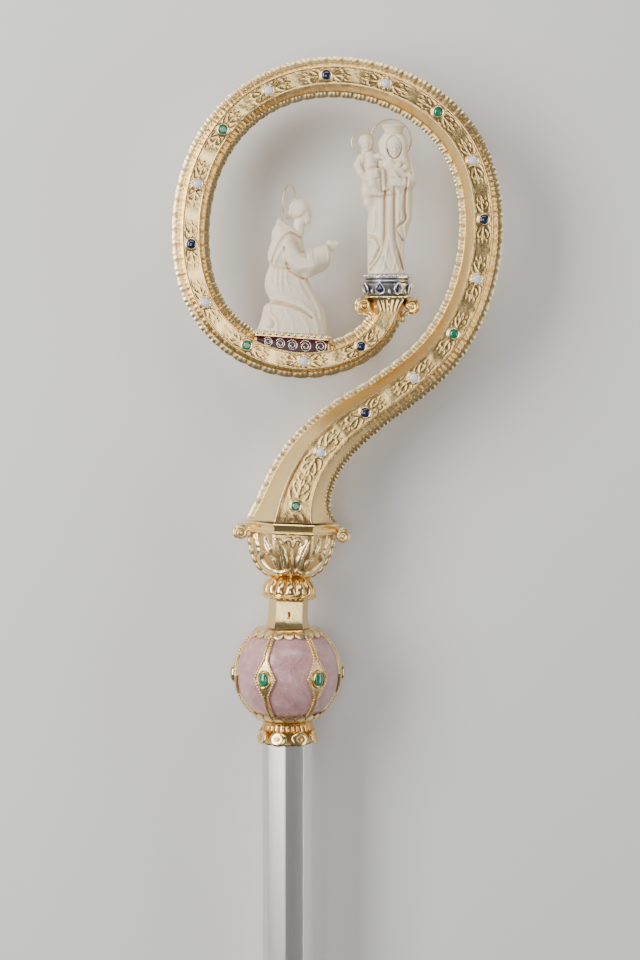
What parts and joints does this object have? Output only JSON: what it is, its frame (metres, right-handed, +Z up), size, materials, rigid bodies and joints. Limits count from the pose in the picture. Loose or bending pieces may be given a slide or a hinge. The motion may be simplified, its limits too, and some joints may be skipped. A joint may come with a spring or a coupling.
{
  "type": "bishop crosier",
  "caption": "Bishop's crosier: gilt crook set with stones around two ivory figures, carved bowl, rose-quartz knob in a gilt cage and a long octagonal silver shaft",
  "frame": {"origin": "middle of the underside of the whole lying staff's box, on the ground", "axes": "+Z up from the ground, +Y along the staff towards the crook, +X the side that the crook curls to"},
  "size_m": [0.1732, 1.8504, 0.0548],
  "materials": {
    "gold": "polished pale gilding with chased leaf scrolls",
    "halo_wire": "fine gilt wire",
    "silver": "satin silver tube",
    "dark_silver": "oxidised silver with bright edges",
    "ivory": "softly polished carved ivory",
    "quartz": "polished cloudy rose quartz",
    "emerald": "polished green stone",
    "sapphire": "polished dark blue stone",
    "pearl": "opalescent white stone",
    "enamel": "deep red enamel with gilt wire spirals"
  },
  "bodies": {
    "root": {"crook": "gold", "crook_emerald_1": "emerald", "crook_pearl_2": "pearl", "crook_sapphire_3": "sapphire", "crook_pearl_4": "pearl", "crook_emerald_5": "emerald", "crook_pearl_6": "pearl", "crook_sapphire_7": "sapphire", "crook_pearl_8": "pearl", "crook_emerald_9": "emerald", "crook_pearl_10": "pearl", "crook_sapphire_11": "sapphire", "crook_pearl_12": "pearl", "crook_emerald_13": "emerald", "crook_pearl_14": "pearl", "crook_sapphire_15": "sapphire", "crook_pearl_16": "pearl", "crook_emerald_17": "emerald", "crook_pearl_18": "pearl", "crook_sapphire_19": "sapphire", "bowl": "gold", "fluted_collar": "gold", "socket": "gold", "quartz_knob": "quartz", "knob_cage": "gold", "knob_emerald_1": "emerald", "knob_emerald_2": "emerald", "knob_emerald_3": "emerald", "knob_emerald_4": "emerald", "knob_emerald_5": "emerald", "knob_emerald_6": "emerald", "petal_collar": "gold", "shaft": "silver", "foot_ferrule": "gold", "monk_stand": "gold", "enamel_front": "enamel", "enamel_back": "enamel", "kneeling_monk": "ivory", "monk_halo": "halo_wire", "mother_stand": "dark_silver", "stand_sapphire_1": "sapphire", "stand_sapphire_2": "sapphire", "stand_sapphire_3": "sapphire", "stand_sapphire_4": "sapphire", "stand_sapphire_5": "sapphire", "stand_sapphire_6": "sapphire", "stand_sapphire_7": "sapphire", "stand_sapphire_8": "sapphire", "mother_and_child": "ivory", "mother_halo": "halo_wire", "child_halo": "halo_wire"}
  },
  "joints": []
}
